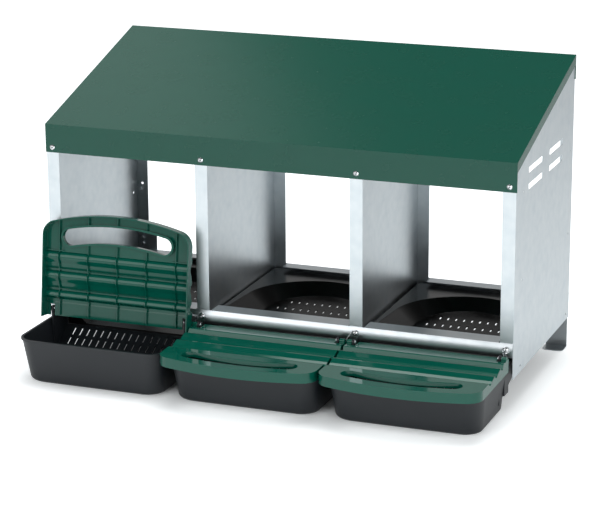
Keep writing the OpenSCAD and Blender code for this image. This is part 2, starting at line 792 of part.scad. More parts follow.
// Room for a tray's hinge ear at a rear corner of the lid
module ear_notch(side) {
    x0 = ear_x - pin_head_h - ear_gap;
    x1 = ear_x + ear_t + ear_gap;
    slab(side > 0 ? x0 : -x1, side > 0 ? x1 : -x0, -ear_r - ear_gap * 2, lid_tail + over, lid_base - over,
         lid_rise + lid_wall + over);
}

boss_r = pin_d / 2 + lid_wall;

// Side view of the knuckle that stands on the lid's skin round the pin
module knuckle() {
    circle(r = boss_r);
    translate([-boss_r, lid_rise - lid_wall]) square([2 * boss_r, lid_wall - lid_rise]);
}

// One lid about its own hinge axis, closed
module lid_closed() {
    bore_from = ear_x - over;
    bore_to = lid_w / 2 + over;
    difference() {
        union() {
            difference() {
                intersection() {
                    along_x(-lid_w / 2, lid_w / 2) lid_side();
                    translate([0, 0, lid_base]) linear_extrude(lid_room) lid_plan(0);
                }
                difference() {
                    lid_inside(lid_wall);
                    lid_ribs();
                    translate([0, 0, rim_base]) linear_extrude(lid_flange_h + over) slot_plan(slot_rim);
                }
            }
            for (side = [-1, 1])
                along_x(side > 0 ? ear_x + ear_t + ear_gap : -lid_w / 2,
                        side > 0 ? lid_w / 2 : -ear_x - ear_t - ear_gap) knuckle();
        }
        translate([0, 0, lid_base - over]) linear_extrude(lid_room) slot_plan(0);
        for (side = [-1, 1]) ear_notch(side);
        for (side = [-1, 1])
            rod_x(0, 0, pin_d / 2 + pin_run, side > 0 ? bore_from : -bore_to,
                  side > 0 ? bore_to : -bore_from);
    }
}

// A lid on its hinge axis, turned up by an angle
module egg_lid(i, angle) {
    color(lid_green) translate([bay_mid(i), face_y - hinge_y, hinge_z]) rotate([-angle, 0, 0]) lid_closed();
}

// The two pins of a lid, each with a round head inside its ear
module hinge_pins(i) {
    color(zinc) translate([bay_mid(i), face_y - hinge_y, hinge_z]) for (side = [-1, 1]) scale([side, 1, 1]) {
        rod_x(0, 0, pin_d / 2, ear_x, lid_w / 2 - lid_wall / 2);
        rod_x(0, 0, pin_d, ear_x - pin_head_h, ear_x);
    }
}

// Screws that enter from the front
module screw_row(z, seat_y, length) {
    color(zinc) translate([0, face_y, 0]) for (i = [0:3]) screw(post_mid(i), z, seat_y, length);
}

module nut_row(z, seat_y) {
    color(zinc) translate([0, face_y, 0]) for (i = [0:3]) nut(post_mid(i), z, seat_y);
}

front_screw_l = 2 * sheet + nut_h + head_h / 2;

// Screws that enter from behind, turned about the rear face
module rear_screw_row(z) {
    color(zinc) translate([0, face_y + box_d + sheet, 0]) rotate([0, 0, 180])
        for (i = [0:3]) screw(-post_mid(i), z, 0, front_screw_l + (i % 3 == 0 ? leg_t : 0));
}

module rear_nut_row(z, on_leg) {
    color(zinc) translate([0, face_y, 0]) for (i = [0:3])
        nut(post_mid(i), z, box_d - sheet - nut_h - (on_leg && i % 3 == 0 ? leg_t : 0));
}

module leg_screws() {
    color(zinc) translate([0, face_y + box_d, 0]) rotate([0, 0, 180])
        for (i = [0, 3], z = leg_screw_heights())
            screw(-post_mid(i), z, 0, sheet + leg_t + nut_h + head_h / 2);
}

module leg_nuts() {
    color(zinc) translate([0, face_y, 0]) for (i = [0, 3], z = leg_screw_heights())
        nut(post_mid(i), z, box_d - sheet - leg_t - nut_h);
}

// Round wire swept along points that lie in one upright plane, with 8 sides
module wire(points, y) {
    sides = 8;
    last = len(points) - 1;
    along = [for (k = [0:last]) points[min(k + 1, last)] - points[max(k - 1, 0)]];
    rings = [for (k = [0:last], s = [0:sides - 1])
        let (a = turn_angle * s / sides, out = [-along[k][1], along[k][0]] / norm(along[k]) * cos(a))
        [points[k][0] + wire_d / 2 * out[0], y + wire_d / 2 * sin(a), points[k][1] + wire_d / 2 * out[1]]];
    walls = [for (k = [0:last - 1], s = [0:sides - 1])
        let (i = k * sides + s, j = k * sides + (s + 1) % sides)
        each [[i, j, i + sides], [j, j + sides, i + sides]]];
    ends = [for (s = [1:sides - 2]) each [[0, s + 1, s],
        [last * sides, last * sides + s, last * sides + s + 1]]];
    polyhedron(rings, concat(walls, ends));
}

// Bent wire clip: an eye round a sill screw's head, with a leg down to each neighbouring tray's cheek
module tray_clip(i) {
    eye_r = head_d / 2 + wire_d / 2 + seat / 2;
    middle = [post_mid(i), sill_screw_z];
    feet = [for (k = [i - 1, i]) if (k >= 0 && k <= 2)
            [bay_mid(k) + (k < i ? cheek_x : -cheek_x), clip_z + 2 * seat]];
    legs = [for (foot = feet) foot - middle];
    to_foot = [for (leg = legs) atan2(leg[1], leg[0])];
    swing = [for (leg = legs) acos(eye_r / norm(leg))];
    start = to_foot[0] - swing[0] + turn_angle;
    stop = len(feet) > 1 ? to_foot[1] + swing[1] : start - eye_angle;
    wire(concat([feet[0]], arc(middle[0], middle[1], eye_r, start, stop, eye_steps),
                len(feet) > 1 ? [feet[1]] : []), sill_front - wire_d / 2 - seat / 2);
}

module tray_clips() {
    color(zinc) translate([0, face_y, 0]) for (i = [0:3]) tray_clip(i);
}

side_panel(0, -half_w);  // left_side_panel
side_panel(3, half_w - sheet);  // right_side_panel
divider(1);  // left_divider
divider(2);  // right_divider
roof();
front_sill();
rear_sill();
rear_leg(-1);  // left_rear_leg
rear_leg(1);  // right_rear_leg
nest_tray(0);  // left_nest_tray
nest_tray(1);  // middle_nest_tray
nest_tray(2);  // right_nest_tray
egg_tray(0);  // left_egg_tray
egg_tray(1);  // middle_egg_tray
egg_tray(2);  // right_egg_tray
egg_lid(0, lid_open_angle);  // left_egg_lid
egg_lid(1, 0);  // middle_egg_lid
egg_lid(2, 0);  // right_egg_lid
hinge_pins(0);  // left_hinge_pins
hinge_pins(1);  // middle_hinge_pins
hinge_pins(2);  // right_hinge_pins
screw_row(fascia_screw_z, -sheet, front_screw_l);  // fascia_screws
nut_row(fascia_screw_z, sheet);  // fascia_nuts
screw_row(sill_screw_z, sill_front, front_screw_l + sill_bow);  // sill_screws
nut_row(sill_screw_z, sheet);  // sill_nuts
rear_screw_row(rear_sill_screw_z);  // rear_sill_screws
rear_nut_row(rear_sill_screw_z, true);  // rear_sill_nuts
rear_screw_row(roof_rear_screw_z);  // roof_rear_screws
rear_nut_row(roof_rear_screw_z, false);  // roof_rear_nuts
leg_screws();
leg_nuts();
tray_clips();
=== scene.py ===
"""Dresses a three-bay roll out nest box: galvanised sheet, painted roof, moulded trays and lids."""

import json
import math

import bmesh
import bpy
from bpy.props import FloatProperty, FloatVectorProperty, PointerProperty
from mathutils import Matrix, Vector

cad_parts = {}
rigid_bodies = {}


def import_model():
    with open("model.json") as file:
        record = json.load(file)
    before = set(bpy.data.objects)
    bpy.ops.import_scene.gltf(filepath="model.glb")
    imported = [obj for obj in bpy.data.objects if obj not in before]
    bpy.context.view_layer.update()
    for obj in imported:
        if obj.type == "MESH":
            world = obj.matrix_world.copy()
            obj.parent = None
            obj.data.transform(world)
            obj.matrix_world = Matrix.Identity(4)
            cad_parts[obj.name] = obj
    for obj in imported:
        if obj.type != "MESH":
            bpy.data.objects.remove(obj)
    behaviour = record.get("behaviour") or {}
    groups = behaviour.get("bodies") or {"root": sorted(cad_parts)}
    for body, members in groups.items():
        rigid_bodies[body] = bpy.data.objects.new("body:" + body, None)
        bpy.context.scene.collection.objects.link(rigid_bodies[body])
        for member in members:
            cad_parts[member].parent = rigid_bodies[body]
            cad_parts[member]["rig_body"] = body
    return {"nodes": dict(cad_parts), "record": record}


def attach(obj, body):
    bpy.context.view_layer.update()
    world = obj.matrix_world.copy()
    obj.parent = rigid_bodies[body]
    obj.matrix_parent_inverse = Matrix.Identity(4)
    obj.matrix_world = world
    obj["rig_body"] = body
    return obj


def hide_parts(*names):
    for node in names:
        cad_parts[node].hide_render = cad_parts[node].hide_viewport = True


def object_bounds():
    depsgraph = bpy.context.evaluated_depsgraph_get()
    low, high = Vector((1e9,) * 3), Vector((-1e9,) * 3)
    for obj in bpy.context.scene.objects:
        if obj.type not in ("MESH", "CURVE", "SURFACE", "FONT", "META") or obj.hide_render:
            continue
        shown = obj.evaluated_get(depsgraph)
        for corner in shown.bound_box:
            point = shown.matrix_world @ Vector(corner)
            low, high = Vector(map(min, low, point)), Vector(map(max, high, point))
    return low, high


bl_info = {
    "name": "Roll Out Nest Box",
    "version": (1, 0, 0),
    "blender": (4, 5, 0),
    "location": "View3D > Sidebar > Nest Box",
    "description": "Builds the finished look of a roll out nest box round its CAD frame",
    "category": "Object",
}

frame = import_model()
CAD_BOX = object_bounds()
SLOTS = {part["node"]: part["material_slot"] for part in frame["record"]["subparts"]}
BAYS = ("left", "middle", "right")

MM = 0.001
# Distance under which two corners of a CAD mesh are one corner
WELD = 0.002 * MM
# Faces that turn less than this lie in one flat face
FLAT = math.radians(0.6)
# Edges that turn more than this stay crisp; the lids' crests are finer than the rest
CREASE = math.radians(32)
LID_CREASE = math.radians(15.5)
# How strongly a large face keeps its own shading beside a small one, from 1 to 100
FLAT_WEIGHT = 80
# Steps in a rounded edge: plain pieces, and moulded ones that are seen close
PLAIN_STEPS = 2
MOULDED_STEPS = 3

# The photograph's frame in pixels, and the camera fitted to the box's corners in it
PHOTO_WIDTH = 600
FOCAL_PIXELS = 2302.4
CAMERA_AZIMUTH = math.radians(20.96)
CAMERA_ELEVATION = math.radians(16.29)
CAMERA_ROLL = math.radians(0.337)
CAMERA_PLACE = Vector((1.5124, -3.9053, 1.4438))


def linear(code):
    """Turns an sRGB hex colour into linear red, green and blue."""
    parts = [int(code[i : i + 2], 16) / 255 for i in (1, 3, 5)]
    return tuple(c / 12.92 if c <= 0.04045 else ((c + 0.055) / 1.055) ** 2.4 for c in parts)


def colour(name, code):
    """A colour that a user may change."""
    about = f"Colour of the {name.lower()}"
    return FloatVectorProperty(
        name=name, description=about, subtype="COLOR", min=0, max=1, default=linear(code)
    )


def length(name, description, millimetres):
    """A length that a user may change."""
    return FloatProperty(name=name, description=description, unit="LENGTH", min=0, default=millimetres * MM)


class NestBoxSizes(bpy.types.PropertyGroup):
    """Sizes of the fine detail that the CAD frame leaves out."""

    sheet_edge: length("Sheet edge", "Rounding of the cut edges of the sheet metal", 0.35)
    roof_edge: length("Roof edge", "Rounding of the roof's folds and edges", 0.45)
    lid_edge: length("Lid edge", "Rounding of the lids' moulded edges", 0.7)
    tray_edge: length("Tray edge", "Rounding of the egg trays' moulded edges", 0.9)
    nest_edge: length("Nest edge", "Rounding of the nest trays' moulded edges", 1.2)
    wire_edge: length("Wire edge", "Rounding of the wire clips' edges", 0.035)
    head_edge: length("Head edge", "Height of the straight edge of a screw's head", 0.9)
    recess_width: length("Recess width", "Width of the arms of a screw's cross recess", 1.3)
    recess_reach: length("Recess reach", "Length of the arms of a screw's cross recess", 5.4)
    recess_depth: length("Recess depth", "Depth of a screw's cross recess", 1.5)


class NestBoxColours(bpy.types.PropertyGroup):
    """Colours of the box's finishes."""

    zinc_light: colour("Light zinc spangle", "#cdd3d6")
    zinc_dark: colour("Dark zinc spangle", "#b6c1c8")
    roof_paint: colour("Roof paint", "#084f40")
    lid_plastic: colour("Lid plastic", "#055849")
    tray_plastic: colour("Tray plastic", "#171c21")
    nest_plastic: colour("Nest plastic", "#060707")
    plating: colour("Screw plating", "#d9dcdf")
    floor: colour("Floor", "#eef1f2")


def add_node(tree, kind, inputs=None, **settings):
    """Adds a node, gives it its settings, and sets or links its inputs."""
    made = tree.nodes.new(kind)
    for name, value in settings.items():
        setattr(made, name, value)
    for key, value in (inputs or {}).items():
        if isinstance(value, bpy.types.NodeSocket):
            tree.links.new(value, made.inputs[key])
        else:
            made.inputs[key].default_value = value
    return made


def new_material(name):
    """An empty material and its node tree."""
    material = bpy.data.materials.new(name)
    material.use_nodes = True
    material.node_tree.nodes.clear()
    return material, material.node_tree


def per_metre(millimetres):
    """Texture scale that repeats a pattern every so many millimetres."""
    return 1 / (millimetres * MM)


def rgba(value):
    """A colour with full opacity."""
    return (*value, 1)


# Most values of a noise texture lie in this range
NOISE_RANGE = (0.3, 0.7)
# Hot-dipped zinc: widths in millimetres of its crystals, of the clouds in its gloss and of its fine grain,
# the strength of that grain, and its lowest and highest roughness
CRYSTAL_MM = 14
ZINC_CLOUD_MM = 25
ZINC_GRAIN_MM = 2.5
ZINC_GRAIN_DEPTH = 0.02
ZINC_ROUGHNESS = (0.33, 0.37)


def galvanised_sheet(colours):
    """Hot-dipped sheet: a bright satin metal with a faint spangle of zinc crystals and a fine grain."""
    material, tree = new_material("galvanised_sheet_steel")
    place = add_node(tree, "ShaderNodeTexCoord").outputs["Object"]
    crystals = add_node(
        tree, "ShaderNodeTexVoronoi", {"Vector": place, "Scale": per_metre(CRYSTAL_MM)}, feature="SMOOTH_F1"
    )
    clouds = add_node(
        tree, "ShaderNodeTexNoise", {"Vector": place, "Scale": per_metre(ZINC_CLOUD_MM), "Detail": 4}
    )
    blend = add_node(
        tree,
        "ShaderNodeMath",
        {0: crystals.outputs["Distance"], 1: clouds.outputs["Fac"]},
        operation="MULTIPLY",
    )
    tint = add_node(
        tree,
        "ShaderNodeMix",
        {"Factor": blend.outputs[0], "A": rgba(colours.zinc_light), "B": rgba(colours.zinc_dark)},
        data_type="RGBA",
    )
    satin = add_node(
        tree,
        "ShaderNodeMapRange",
        {
            "Value": clouds.outputs["Fac"],
            "From Min": NOISE_RANGE[0],
            "From Max": NOISE_RANGE[1],
            "To Min": ZINC_ROUGHNESS[0],
            "To Max": ZINC_ROUGHNESS[1],
        },
    )
    grain = add_node(
        tree, "ShaderNodeTexNoise", {"Vector": place, "Scale": per_metre(ZINC_GRAIN_MM), "Detail": 3}
    )
    relief = add_node(
        tree,
        "ShaderNodeBump",
        {"Height": grain.outputs["Fac"], "Strength": ZINC_GRAIN_DEPTH, "Distance": MM},
    )
    shader = add_node(
        tree,
        "ShaderNodeBsdfPrincipled",
        {
            "Base Color": tint.outputs["Result"],
            "Metallic": 1.0,
            "Roughness": satin.outputs["Result"],
            "Normal": relief.outputs["Normal"],
        },
    )
    add_node(tree, "ShaderNodeOutputMaterial", {"Surface": shader.outputs["BSDF"]})
    return material


# Coloured skins: width in millimetres of the clouds in their tone and gloss, the shade of the darker tone,
# and how far the roughness drifts either way
TONE_CLOUD_MM = 45
DARKER_TONE = 0.88
GLOSS_DRIFT = 0.03


def moulded_or_painted(name, base, rough, ior, skin_mm, skin_depth):
    """Coloured skin with a fine relief: its size and depth tell powder coat from a moulded surface."""
    material, tree = new_material(name)
    place = add_node(tree, "ShaderNodeTexCoord").outputs["Object"]
    clouds = add_node(
        tree, "ShaderNodeTexNoise", {"Vector": place, "Scale": per_metre(TONE_CLOUD_MM), "Detail": 5}
    )
    darker = tuple(c * DARKER_TONE for c in base)
    tint = add_node(
        tree,
        "ShaderNodeMix",
        {"Factor": clouds.outputs["Fac"], "A": rgba(base), "B": rgba(darker)},
        data_type="RGBA",
    )
    wear = add_node(
        tree,
        "ShaderNodeMapRange",
        {
            "Value": clouds.outputs["Fac"],
            "From Min": NOISE_RANGE[0],
            "From Max": NOISE_RANGE[1],
            "To Min": rough * (1 - GLOSS_DRIFT),
            "To Max": rough * (1 + GLOSS_DRIFT),
        },
    )
    skin = add_node(tree, "ShaderNodeTexNoise", {"Vector": place, "Scale": per_metre(skin_mm), "Detail": 2})
    relief = add_node(
        tree, "ShaderNodeBump", {"Height": skin.outputs["Fac"], "Strength": skin_depth, "Distance": MM}
    )
    shader = add_node(
        tree,
        "ShaderNodeBsdfPrincipled",
        {
            "Base Color": tint.outputs["Result"],
            "Roughness": wear.outputs["Result"],
            "IOR": ior,
            "Normal": relief.outputs["Normal"],
        },
    )
    add_node(tree, "ShaderNodeOutputMaterial", {"Surface": shader.outputs["BSDF"]})
    return material


# Zinc plate: width in millimetres of the clouds in its gloss, and its lowest and highest roughness
PLATE_CLOUD_MM = 4
PLATE_ROUGHNESS = (0.18, 0.32)


def zinc_plate(colours):
    """Bright zinc plate on screws, nuts and wire: a clean metal with slightly uneven gloss."""
    material, tree = new_material("bright_zinc_plated_steel")
    place = add_node(tree, "ShaderNodeTexCoord").outputs["Object"]
    clouds = add_node(
        tree, "ShaderNodeTexNoise", {"Vector": place, "Scale": per_metre(PLATE_CLOUD_MM), "Detail": 3}
    )
    gloss = add_node(
        tree,
        "ShaderNodeMapRange",
        {"Value": clouds.outputs["Fac"], "To Min": PLATE_ROUGHNESS[0], "To Max": PLATE_ROUGHNESS[1]},
    )
    shader = add_node(
        tree,
        "ShaderNodeBsdfPrincipled",
        {"Base Color": rgba(colours.plating), "Metallic": 1.0, "Roughness": gloss.outputs["Result"]},
    )
    add_node(tree, "ShaderNodeOutputMaterial", {"Surface": shader.outputs["BSDF"]})
    return material


# Coloured skins: material, colour, roughness, index of refraction, and the width in millimetres and strength
# of the relief. Powder coat flows out with a slight orange peel, drawn coarser than it is so that it shows.
# The lids come from a polished mould and wave only slightly. The egg trays have a spark-eroded grain, and the
# nest trays a satin skin. Powder coat starts from an index of 1.5 and polypropylene from 1.49, which come
# down where the photograph mirrors less.
SKINS = {
    "roof_green": ("powder_coated_steel", "roof_paint", 0.27, 1.42, 6, 0.003),
    "lid_green": ("gloss_polypropylene", "lid_plastic", 0.08, 1.42, 14, 0.01),
    "tray_charcoal": ("grained_polypropylene", "tray_plastic", 0.46, 1.49, 1.2, 0.06),
    "nest_black": ("satin_polypropylene", "nest_plastic", 0.26, 1.42, 6, 0.012),
}
FINISHES = {}


def finish_for(slot):
    """The material of one of the record's slots, made at its first use."""
    colours = bpy.context.scene.nest_box_colours
    if slot not in FINISHES:
        if slot in SKINS:
            name, paint, *look = SKINS[slot]
            FINISHES[slot] = moulded_or_painted(name, getattr(colours, paint), *look)
        else:
            FINISHES[slot] = galvanised_sheet(colours) if slot == "galvanised" else zinc_plate(colours)
    return FINISHES[slot]


def welded(node_name):
    """A bmesh of a CAD node with its loose triangles joined into faces."""
    solid = bmesh.new()
    solid.from_mesh(frame["nodes"][node_name].data)
    bmesh.ops.remove_doubles(solid, verts=solid.verts, dist=WELD)
    bmesh.ops.dissolve_limit(solid, angle_limit=FLAT, verts=solid.verts, edges=solid.edges)
    return solid


def stand_for(piece, *node_names):
    """Puts a finished piece in the place of CAD nodes, on their body and with their finish."""
    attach(piece, frame["nodes"][node_names[0]]["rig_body"])
    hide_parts(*node_names)
    return piece


def dress(node_name, edge, steps=PLAIN_STEPS, crease=CREASE):
    """A copy of a CAD node with softened edges and its finish."""
    solid = welded(node_name)
    for face in solid.faces:
        face.smooth = True
    for line in solid.edges:
        line.smooth = len(line.link_faces) == 2 and line.calc_face_angle(0) < crease
    mesh = bpy.data.meshes.new(f"{node_name}_finished")
    solid.to_mesh(mesh)
    solid.free()
    mesh.materials.append(finish_for(SLOTS[node_name]))
    piece = bpy.data.objects.new(mesh.name, mesh)
    bpy.context.scene.collection.objects.link(piece)
    soften = piece.modifiers.new("Soft edges", "BEVEL")
    soften.width = edge
    soften.segments = steps
    soften.limit_method = "ANGLE"
    soften.angle_limit = crease
    # Large flat faces keep their own shading, so only the rounds between them turn the light
    shade = piece.modifiers.new("Flat faces", "WEIGHTED_NORMAL")
    shade.mode = "FACE_AREA"
    shade.weight = FLAT_WEIGHT
    return stand_for(piece, node_name)


def loose_boxes(node_name):
    """Lowest and highest corners of each separate solid of a CAD node, from left to right."""
    solid = welded(node_name)
    boxes = []
    waiting = set(solid.verts)
    while waiting:
        group = {waiting.pop()}
        front = list(group)
        while front:
            corner = front.pop()
            for line in corner.link_edges:
                other = line.other_vert(corner)
                if other not in group:
                    group.add(other)
                    front.append(other)
        waiting -= group
        low = Vector(min(v.co[k] for v in group) for k in range(3))
        high = Vector(max(v.co[k] for v in group) for k in range(3))
        boxes.append((low, high))
    solid.free()
    return sorted(boxes, key=lambda box: (box[0].x, box[0].z))


def new_tree(name, sizes):
    """A geometry tree with points in, geometry out, a material and named sizes."""
    tree = bpy.data.node_groups.new(name, "GeometryNodeTree")
    tree.interface.new_socket(name="Points", in_out="INPUT", socket_type="NodeSocketGeometry")
    tree.interface.new_socket(name="Geometry", in_out="OUTPUT", socket_type="NodeSocketGeometry")
    for size in sizes:
        tree.interface.new_socket(name=size, in_out="INPUT", socket_type="NodeSocketFloat")
    tree.interface.new_socket(name="Turn", in_out="INPUT", socket_type="NodeSocketRotation")
    tree.interface.new_socket(name="Finish", in_out="INPUT", socket_type="NodeSocketMaterial")
    return tree, add_node(tree, "NodeGroupInput").outputs


def close_tree(tree, given, shape):
    """Puts a shape on every point, makes it real and gives it its finish."""
    placed = add_node(
        tree,
        "GeometryNodeInstanceOnPoints",
        {"Points": given["Points"], "Instance": shape, "Rotation": given["Turn"]},
    )
    real = add_node(tree, "GeometryNodeRealizeInstances", {"Geometry": placed.outputs["Instances"]})
    painted = add_node(
        tree, "GeometryNodeSetMaterial", {"Geometry": real.outputs["Geometry"], "Material": given["Finish"]}
    )
    add_node(tree, "NodeGroupOutput", {"Geometry": painted.outputs["Geometry"]})
    return tree


# Sides of a screw's head and shank, and rings in its dome
HEAD_SIDES = 32
HEAD_RINGS = 6
SHANK_SIDES = 20
# The flattened ball that turns a nut's corners down: its sides and rings, and its width and height against
# the ball round the corners
BALL_SIDES = 32
BALL_RINGS = 24
BALL_WIDTH = 1.02
BALL_HEIGHT = 0.75


def screw_tree():
    """Pan-head screw: a domed head with a cross recess on a plain shank that points down."""
    tree, given = new_tree(
        "Pan head screws",
        ["Head Radius", "Head Height", "Head Edge", "Shank Radius", "Shank Length",
         "Recess Width", "Recess Reach", "Recess Depth"],
    )
    slug = add_node(
        tree,
        "GeometryNodeMeshCylinder",
        {
            "Vertices": HEAD_SIDES,
            "Fill Segments": HEAD_RINGS,
            "Radius": given["Head Radius"],
            "Depth": given["Head Edge"],
        },
    )
    half_edge = add_node(tree, "ShaderNodeMath", {0: given["Head Edge"], 1: 0.5}, operation="MULTIPLY")
    up = add_node(tree, "ShaderNodeCombineXYZ", {"Z": half_edge.outputs[0]})
    raised = add_node(
        tree, "GeometryNodeTransform", {"Geometry": slug.outputs["Mesh"], "Translation": up.outputs[0]}
    )
    # The dome rises by the share of the head that is inside each ring, squared
    place = add_node(tree, "GeometryNodeInputPosition")
    axes = add_node(tree, "ShaderNodeSeparateXYZ", {0: place.outputs[0]})
    flat = add_node(tree, "ShaderNodeCombineXYZ", {"X": axes.outputs["X"], "Y": axes.outputs["Y"]})
    ring = add_node(tree, "ShaderNodeVectorMath", {0: flat.outputs[0]}, operation="LENGTH")
    share = add_node(
        tree, "ShaderNodeMath", {0: ring.outputs["Value"], 1: given["Head Radius"]}, operation="DIVIDE"
    )
    square = add_node(tree, "ShaderNodeMath", {0: share.outputs[0], 1: 2.0}, operation="POWER")
    inside = add_node(tree, "ShaderNodeMath", {0: 1.0, 1: square.outputs[0]}, operation="SUBTRACT")
    rise = add_node(
        tree, "ShaderNodeMath", {0: given["Head Height"], 1: given["Head Edge"]}, operation="SUBTRACT"
    )
    lift = add_node(tree, "ShaderNodeMath", {0: inside.outputs[0], 1: rise.outputs[0]}, operation="MULTIPLY")
    top = add_node(
        tree, "ShaderNodeMath", {0: axes.outputs["Z"], 1: half_edge.outputs[0]}, operation="GREATER_THAN"
    )
    lifted = add_node(tree, "ShaderNodeCombineXYZ", {"Z": lift.outputs[0]})
    dome = add_node(
        tree,
        "GeometryNodeSetPosition",
        {"Geometry": raised.outputs[0], "Selection": top.outputs[0], "Offset": lifted.outputs[0]},
    )
    depth = add_node(tree, "ShaderNodeMath", {0: given["Recess Depth"], 1: 2.0}, operation="MULTIPLY")
    arm_size = add_node(
        tree,
        "ShaderNodeCombineXYZ",
        {"X": given["Recess Reach"], "Y": given["Recess Width"], "Z": depth.outputs[0]},
    )
    arm = add_node(tree, "GeometryNodeMeshCube", {"Size": arm_size.outputs[0]})
    crown = add_node(tree, "ShaderNodeCombineXYZ", {"Z": given["Head Height"]})
    arm_up = add_node(
        tree, "GeometryNodeTransform", {"Geometry": arm.outputs["Mesh"], "Translation": crown.outputs[0]}
    )
    arm_across = add_node(
        tree, "GeometryNodeTransform", {"Geometry": arm_up.outputs[0], "Rotation": (0, 0, math.pi / 2)}
    )
    cut = add_node(tree, "GeometryNodeMeshBoolean", {"Mesh 1": dome.outputs[0]}, operation="DIFFERENCE")
    tree.links.new(arm_up.outputs[0], cut.inputs["Mesh 2"])
    tree.links.new(arm_across.outputs[0], cut.inputs["Mesh 2"])
    shank = add_node(
        tree,
        "GeometryNodeMeshCylinder",
        {"Vertices": SHANK_SIDES, "Radius": given["Shank Radius"], "Depth": given["Shank Length"]},
    )
    sink = add_node(tree, "ShaderNodeMath", {0: given["Shank Length"], 1: -0.5}, operation="MULTIPLY")
    down = add_node(tree, "ShaderNodeCombineXYZ", {"Z": sink.outputs[0]})
    lowered = add_node(
        tree, "GeometryNodeTransform", {"Geometry": shank.outputs["Mesh"], "Translation": down.outputs[0]}
    )
    whole = add_node(tree, "GeometryNodeJoinGeometry", {0: cut.outputs["Mesh"]})
    tree.links.new(lowered.outputs[0], whole.inputs[0])
    return close_tree(tree, given, whole.outputs[0])


def nut_tree():
    """Hexagon nut whose corners are turned down by a flat dome, standing on its seat."""
    tree, given = new_tree("Hexagon nuts", ["Corner Radius", "Height", "Bore Radius"])
    hexagon = add_node(
        tree,
        "GeometryNodeMeshCylinder",
        {"Vertices": 6, "Radius": given["Corner Radius"], "Depth": given["Height"]},
    )
    ball = add_node(
        tree,
        "GeometryNodeMeshUVSphere",
        {"Segments": BALL_SIDES, "Rings": BALL_RINGS, "Radius": given["Corner Radius"]},
    )
    squeeze = add_node(tree, "ShaderNodeCombineXYZ", {"X": BALL_WIDTH, "Y": BALL_WIDTH, "Z": BALL_HEIGHT})
    lens = add_node(
        tree, "GeometryNodeTransform", {"Geometry": ball.outputs["Mesh"], "Scale": squeeze.outputs[0]}
    )
    turned = add_node(tree, "GeometryNodeMeshBoolean", operation="INTERSECT")
    tree.links.new(hexagon.outputs["Mesh"], turned.inputs["Mesh 2"])
    tree.links.new(lens.outputs[0], turned.inputs["Mesh 2"])
    through = add_node(tree, "ShaderNodeMath", {0: given["Height"], 1: 2.0}, operation="MULTIPLY")
    bore = add_node(
        tree,
        "GeometryNodeMeshCylinder",
        {"Vertices": SHANK_SIDES, "Radius": given["Bore Radius"], "Depth": through.outputs[0]},
    )
    open_nut = add_node(
        tree, "GeometryNodeMeshBoolean", {"Mesh 1": turned.outputs["Mesh"]}, operation="DIFFERENCE"
    )
    tree.links.new(bore.outputs["Mesh"], open_nut.inputs["Mesh 2"])
    return close_tree(tree, given, open_nut.outputs["Mesh"])


def repeat_on(node_name, tree, points, sizes, turn):
    """Runs a geometry tree on points and puts the plain mesh in the place of a CAD node."""
    seeds = bpy.data.meshes.new(f"{node_name}_places")
    seeds.from_pydata(points, [], [])
    carrier = bpy.data.objects.new(seeds.name, seeds)
    bpy.context.scene.collection.objects.link(carrier)
    modifier = carrier.modifiers.new("Repeat", "NODES")
    modifier.node_group = tree
    values = {**sizes, "Turn": turn, "Finish": finish_for(SLOTS[node_name])}
    for socket in tree.interface.items_tree:
        if socket.in_out == "INPUT" and socket.name in values:
            modifier[socket.identifier] = values[socket.name]
    ready = carrier.evaluated_get(bpy.context.evaluated_depsgraph_get())
    mesh = bpy.data.meshes.new_from_object(ready)
    mesh.name = f"{node_name}_finished"
    bpy.data.objects.remove(carrier)
    bpy.data.meshes.remove(seeds)
    for face in mesh.polygons:
        face.use_smooth = True
    mesh.set_sharp_from_angle(angle=CREASE)
    piece = bpy.data.objects.new(mesh.name, mesh)
    bpy.context.scene.collection.objects.link(piece)
    return stand_for(piece, node_name)


class NESTBOX_OT_sheet_metal(bpy.types.Operator):
    """Finish the galvanised panels, dividers, sills and legs"""

    bl_idname = "nestbox.sheet_metal"
    bl_label = "Galvanised Sheet Metal"

    def execute(self, context):
        edge = context.scene.nest_box_sizes.sheet_edge
        for node_name, slot in SLOTS.items():
            if slot == "galvanised":
                dress(node_name, edge)
        return {"FINISHED"}


class NESTBOX_OT_roof(bpy.types.Operator):
    """Finish the painted roof"""

    bl_idname = "nestbox.roof"
    bl_label = "Painted Roof"

    def execute(self, context):
        dress("roof", context.scene.nest_box_sizes.roof_edge)
        return {"FINISHED"}


class NESTBOX_OT_lids(bpy.types.Operator):
    """Finish the three egg lids"""

    bl_idname = "nestbox.lids"
    bl_label = "Egg Lids"

    def execute(self, context):
        for bay in BAYS:
            dress(f"{bay}_egg_lid", context.scene.nest_box_sizes.lid_edge, MOULDED_STEPS, LID_CREASE)
        return {"FINISHED"}


class NESTBOX_OT_egg_trays(bpy.types.Operator):
    """Finish the three egg trays"""

    bl_idname = "nestbox.egg_trays"
    bl_label = "Egg Trays"

    def execute(self, context):
        for bay in BAYS:
            dress(f"{bay}_egg_tray", context.scene.nest_box_sizes.tray_edge)
        return {"FINISHED"}


class NESTBOX_OT_nest_trays(bpy.types.Operator):
    """Finish the three nest trays"""

    bl_idname = "nestbox.nest_trays"
    bl_label = "Nest Trays"

    def execute(self, context):
        for bay in BAYS:
            dress(f"{bay}_nest_tray", context.scene.nest_box_sizes.nest_edge, MOULDED_STEPS)
        return {"FINISHED"}


# Screws whose heads face the front, and those whose heads face the back
FRONT_SCREWS = ("fascia_screws", "sill_screws")
REAR_SCREWS = ("rear_sill_screws", "roof_rear_screws", "leg_screws")
FACING_FRONT = (math.pi / 2, 0, 0)
FACING_BACK = (-math.pi / 2, 0, 0)
